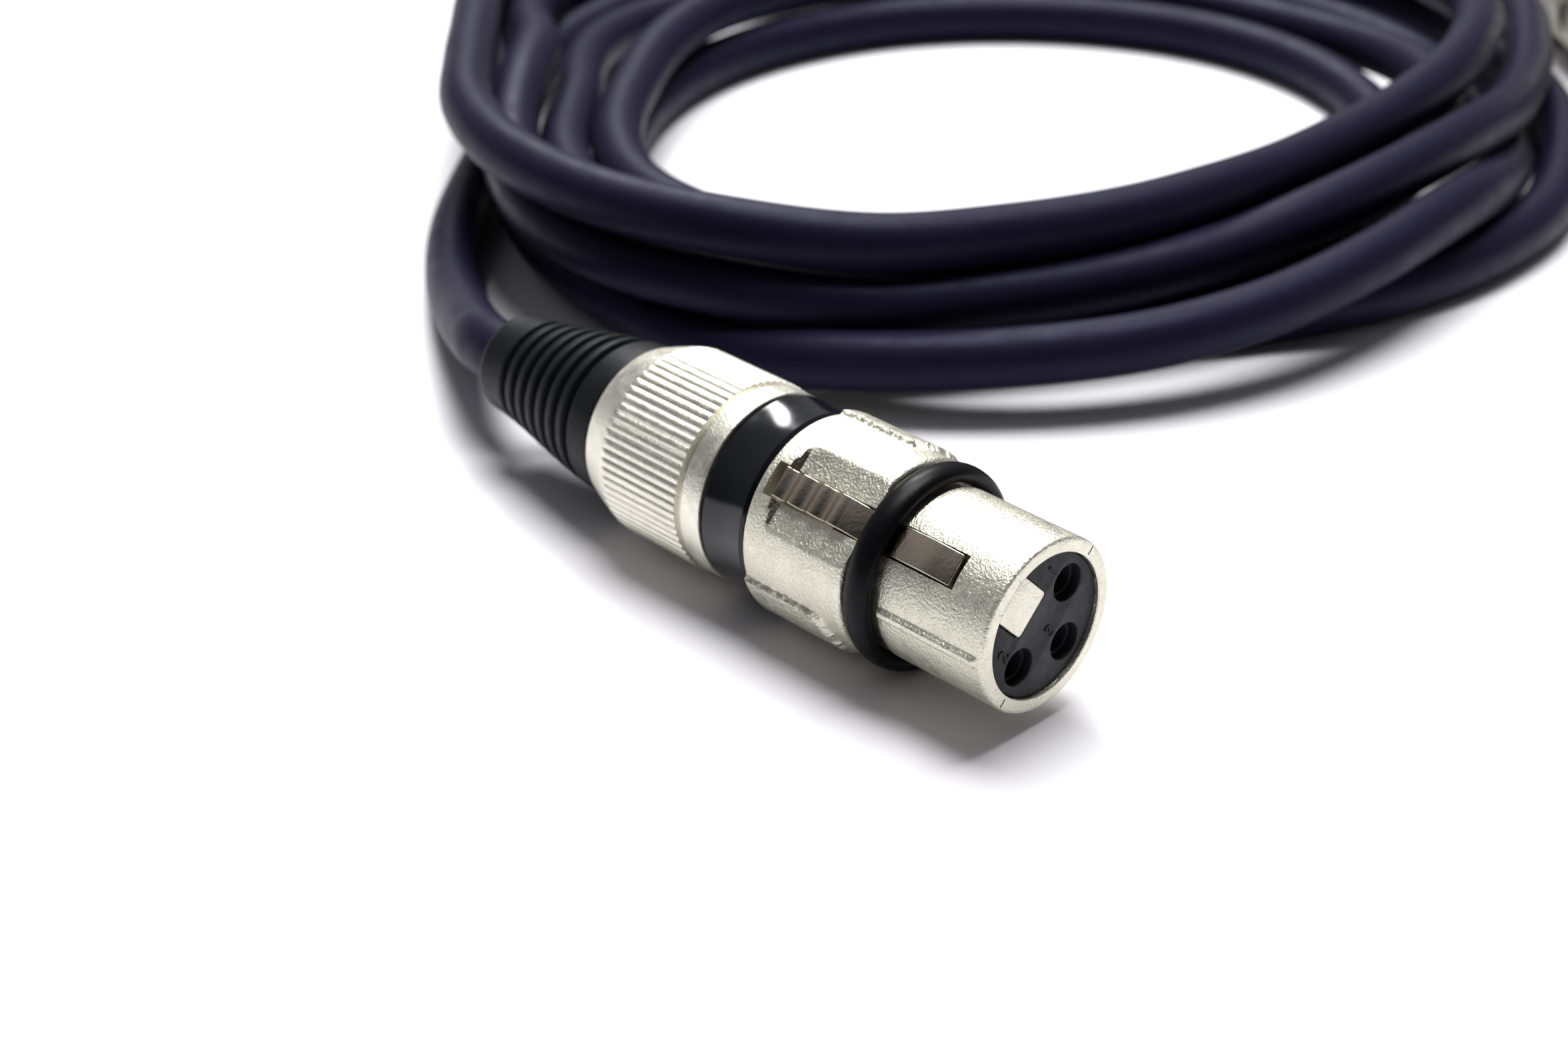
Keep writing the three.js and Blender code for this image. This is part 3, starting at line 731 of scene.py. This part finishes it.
def boot(prefix, place, shell_end):
    """Tapering strain relief with grooves, held by its collar inside the nut, its mouth flared."""
    def s(distance):
        return shell_end + distance

    inside = fillet([(4.6, s(43.0)), (4.1, s(42.0), 0.5), (3.85, s(38), 4), (3.8, s(16.9)),
                     (7.7, s(16.9), 0.2), (7.7, s(19.7), 0.2), (6.9, s(19.7)), (6.9, s(23)),
                     (7.55, s(23), 0.2)])
    outside = []
    grooves = [26.7 + BOOT_GROOVE_PITCH * k for k in range(BOOT_GROOVES)]
    for x in np.arange(23.25, 42.2, 0.09):
        body = 7.8 - 2.35 * smoothstep(23.5, 44, x) - 0.018 * (x - 23)
        cut = sum(math.exp(-((x - g) / 0.42) ** 4) for g in grooves)
        outside.append((float(body - 0.75 * cut), s(x)))
    r_end = outside[-1][0]
    tip = [(r_end - 0.75 * (1 - math.cos(t)), s(42.2 + 0.8 * math.sin(t)))
           for t in np.linspace(0.1, math.pi / 2, 7)]
    points, faces = revolve(inside + outside + tip, 96)
    body = f"{prefix[0]}_boot"
    make_piece(f"{prefix}_boot", points, faces, place, RUBBER, body, [body], sharp=60)


# ---------- cable ----------
def cable_line():
    """Middle of the cable in metres, read from the rings of the CAD core, from the female end to the male."""
    core = frame["nodes"]["cable_core"].data
    keys, where, index = {}, [], []
    for v in core.vertices:
        key = tuple(round(c * 1e5) for c in v.co)
        if key not in keys:
            keys[key] = len(where)
            where.append(v.co)
        index.append(keys[key])
    where = np.array(where)
    near = [set() for _ in where]
    for edge in core.edges:
        a, b = (index[v] for v in edge.vertices)
        near[a].add(b)
        near[b].add(a)
    along = (where - FEMALE.origin) @ FEMALE.back
    off = np.linalg.norm(where - FEMALE.origin - along[:, None] * FEMALE.back, axis=1)
    first = min((a for a, o in zip(along, off) if o < 3 * MM))
    ring = {i for i in range(len(where)) if off[i] < 3 * MM and along[i] < first + 0.1 * MM}
    done, middles = set(ring), []
    while ring:
        middles.append(where[sorted(ring)].mean(axis=0))
        ring = {n for v in ring for n in near[v]} - done
        done |= ring
    return np.array(middles)


def smooth_line(marks, step):
    """A Catmull-Rom line through the marks, with points about one step apart."""
    padded = np.concatenate([[2 * marks[0] - marks[1]], marks, [2 * marks[-1] - marks[-2]]])
    line = []
    for a, b, c, d in zip(padded, padded[1:], padded[2:], padded[3:]):
        reach = np.linalg.norm(c - b)
        tangent_b = (c - a) / (np.linalg.norm(b - a) + reach) * reach
        tangent_c = (d - b) / (np.linalg.norm(d - c) + reach) * reach
        parts = max(1, round(reach / step))
        for k in range(parts):
            t = k / parts
            line.append((2 * t ** 3 - 3 * t ** 2 + 1) * b + (t ** 3 - 2 * t ** 2 + t) * tangent_b
                        + (3 * t ** 2 - 2 * t ** 3) * c + (t ** 3 - t ** 2) * tangent_c)
    line.append(marks[-1])
    return np.array(line)


def jacket():
    """Round tube along the middle of the cable; its rings do not twist from one to the next."""
    line = smooth_line(cable_line(), 1.6 * MM)
    sides = 28
    tangents = np.gradient(line, axis=0)
    tangents /= np.linalg.norm(tangents, axis=1)[:, None]
    up = np.cross(tangents[0], (0, 0, 1))
    up /= np.linalg.norm(up)
    ups = []
    for tangent in tangents:
        up = up - (up @ tangent) * tangent
        up /= np.linalg.norm(up)
        ups.append(up)
    ups = np.array(ups)
    sideways = np.cross(tangents, ups)
    angles = np.arange(sides) * 2 * math.pi / sides
    ring = (np.cos(angles)[None, :, None] * ups[:, None] + np.sin(angles)[None, :, None] * sideways[:, None])
    skin = line[:, None] / MM + CABLE_R * ring
    count = len(line)
    points = skin.reshape(-1, 3)
    faces = [(j * sides + i, j * sides + (i + 1) % sides,
              (j + 1) * sides + (i + 1) % sides, (j + 1) * sides + i)
             for j in range(count - 1) for i in range(sides)]
    faces += [tuple(range(sides)), tuple(range((count - 1) * sides, count * sides))]
    make_piece("cable_jacket_skin", points, faces, None, JACKET, ROOT, ["cable_jacket", "cable_core"])


# ---------- CAD nodes that stay ----------
def dress_cad_nodes():
    looks = {"chuck": CHUCK_PLASTIC, "wire_1": COPPER, "wire_2": RED_WIRE, "wire_3": WHITE_WIRE,
             "spring": SPRING_STEEL}
    for name, node in frame["nodes"].items():
        for part, mat in looks.items():
            if part in name:
                node.data.materials.clear()
                node.data.materials.append(mat)


# ---------- stage ----------
WORLD_BRIGHT_SIDE = (-0.12, 0.66, 0.74)   # the studio's walls are brightest behind and above
WORLD_STRENGTH = (0.02, 0.3)
LAMPS = (   # name, place from the female mating face in metres, width, height, power
    ("overhead", (0.05, 0.35, 1.2), 0.9, 0.7, 21),
    ("back", (-0.15, 1.15, 1.0), 0.6, 0.4, 13),
)


def white_floor():
    mesh = bpy.data.meshes.new("floor")
    half = 4.0
    corners = [(-half, -half, 0), (half, -half, 0), (half, half, 0), (-half, half, 0)]
    mesh.from_pydata(corners, [], [(0, 1, 2, 3)])
    floor = bpy.data.objects.new("floor", mesh)
    bpy.context.scene.collection.objects.link(floor)
    mat, nodes, links, bsdf = material("floor_white")
    where = place_node(nodes, links, False)
    drift = noise(nodes, links, where, 0.02, 2.0)
    white = mixed_colour(nodes, links, drift, (0.86, 0.85, 0.88), (0.9, 0.89, 0.92))
    links.new(white, bsdf.inputs["Base Color"])
    bsdf.inputs["Roughness"].default_value = 0.7
    bsdf.inputs["Specular IOR Level"].default_value = 0.2
    mesh.materials.append(mat)


def studio_world():
    """Walls that brighten towards one side."""
    world = bpy.data.worlds.new("studio")
    bpy.context.scene.world = world
    world.use_nodes = True
    nodes, links = world.node_tree.nodes, world.node_tree.links
    background = nodes["Background"]
    background.inputs["Color"].default_value = (0.95, 0.93, 1.0, 1)
    coordinates = nodes.new("ShaderNodeTexCoord")
    towards = nodes.new("ShaderNodeVectorMath")
    towards.operation = "DOT_PRODUCT"
    towards.inputs[1].default_value = WORLD_BRIGHT_SIDE
    links.new(coordinates.outputs["Generated"], towards.inputs[0])
    strength = spread(nodes, links, towards.outputs["Value"], *WORLD_STRENGTH, -0.2, 0.9)
    links.new(strength, background.inputs["Strength"])


def lamps():
    aim = Vector(FEMALE.origin)
    for name, offset, width, height, power in LAMPS:
        lamp = bpy.data.lights.new(name, "AREA")
        lamp.shape = "ELLIPSE"
        lamp.size = width
        lamp.size_y = height
        lamp.energy = power
        holder = bpy.data.objects.new(name, lamp)
        bpy.context.scene.collection.objects.link(holder)
        holder.location = aim + Vector(offset)
        holder.rotation_euler = Vector(offset).to_track_quat("Z", "Y").to_euler()


CAMERA_PLACE = (-21.8, -175.3, 109.5)   # mm from the middle of the female mating face
CAMERA_DOWN = 29.59                     # degrees below level
CAMERA_LENS = 57.14                     # mm, for a sensor 36 mm wide
CAMERA_FSTOP = 28


def camera():
    """Seen from the front and above, in focus a little behind the female mating face."""
    data = bpy.data.cameras.new("camera")
    data.lens = CAMERA_LENS
    data.sensor_width = 36
    data.clip_start = 0.01
    data.dof.use_dof = True
    data.dof.aperture_fstop = CAMERA_FSTOP
    focus = bpy.data.objects.new("focus", None)
    bpy.context.scene.collection.objects.link(focus)
    focus.location = FEMALE.world([0, 8, 8])
    data.dof.focus_object = focus
    holder = bpy.data.objects.new("camera", data)
    bpy.context.scene.collection.objects.link(holder)
    holder.location = Vector(FEMALE.origin) + Vector(CAMERA_PLACE) * MM
    holder.rotation_euler = (math.radians(90 - CAMERA_DOWN), 0, 0)
    bpy.context.scene.camera = holder


female_shell()
parting_marks()
female_insert()
female_sockets()
latch()
o_ring()
male_shell()
male_insert()
male_pins()
for prefix, place, shell_end in (("female", FEMALE, FEMALE_SHELL_END), ("male", MALE, MALE_SHELL_END)):
    coding_ring(prefix, place, shell_end + 0.3)
    nut(prefix, place, shell_end)
    boot(prefix, place, shell_end)
jacket()
dress_cad_nodes()
white_floor()
studio_world()
lamps()
camera()
bpy.context.scene.view_settings.view_transform = "Standard"
